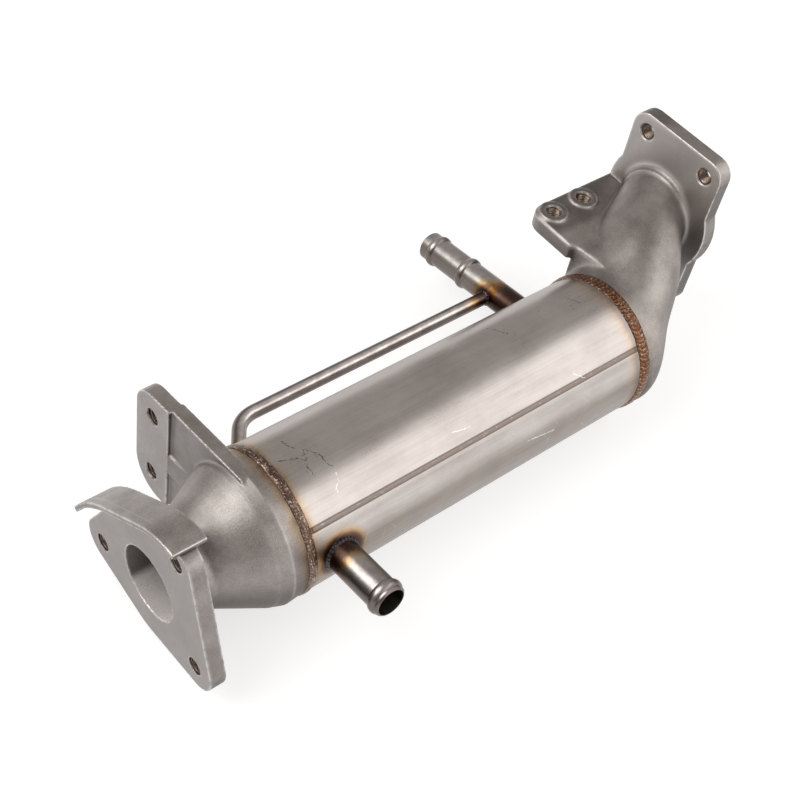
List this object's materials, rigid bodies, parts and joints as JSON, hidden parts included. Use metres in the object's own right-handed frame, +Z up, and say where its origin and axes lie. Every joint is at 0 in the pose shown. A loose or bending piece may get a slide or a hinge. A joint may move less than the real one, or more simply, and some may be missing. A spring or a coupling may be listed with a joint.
{
  "type": "egr pipe",
  "caption": "Exhaust gas cooler: round water jacket with tube core between a hooded triangular flange with bracket and a bent duct with rectangular flange, hose spigots and bleed tube.",
  "frame": {"origin": "centre of the gas inlet on the inlet flange's face", "axes": "+X along the jacket from gas inlet to gas outlet, +Z up, +Y left, towards the bracket and the coolant outlet"},
  "size_m": [0.3674, 0.1917, 0.1271],
  "materials": {
    "cast_steel": "blasted casting with machined faces",
    "jacket": "brushed, heat tinted near the welds",
    "tube": "drawn and polished",
    "core": "plain",
    "weld": "rippled, copper brown"
  },
  "bodies": {
    "root": {"inlet_flange": "cast_steel", "inlet_bell": "cast_steel", "bracket": "cast_steel", "outlet_duct": "cast_steel", "outlet_flange": "cast_steel", "outlet_ear": "cast_steel", "shell_tube": "jacket", "inlet_seam": "weld", "outlet_seam": "weld", "shell_seam": "weld", "coolant_inlet_spigot": "tube", "coolant_outlet_spigot": "tube", "inlet_spigot_weld": "weld", "outlet_spigot_weld": "weld", "bleed_tube": "tube", "inlet_tube_plate": "core", "outlet_tube_plate": "core", "baffle_1": "core", "baffle_2": "core", "gas_tube_01": "core", "gas_tube_02": "core", "gas_tube_03": "core", "gas_tube_04": "core", "gas_tube_05": "core", "gas_tube_06": "core", "gas_tube_07": "core", "gas_tube_08": "core", "gas_tube_09": "core", "gas_tube_10": "core", "gas_tube_11": "core", "gas_tube_12": "core", "gas_tube_13": "core", "gas_tube_14": "core", "gas_tube_15": "core", "gas_tube_16": "core", "gas_tube_17": "core", "gas_tube_18": "core", "gas_tube_19": "core"}
  },
  "joints": []
}
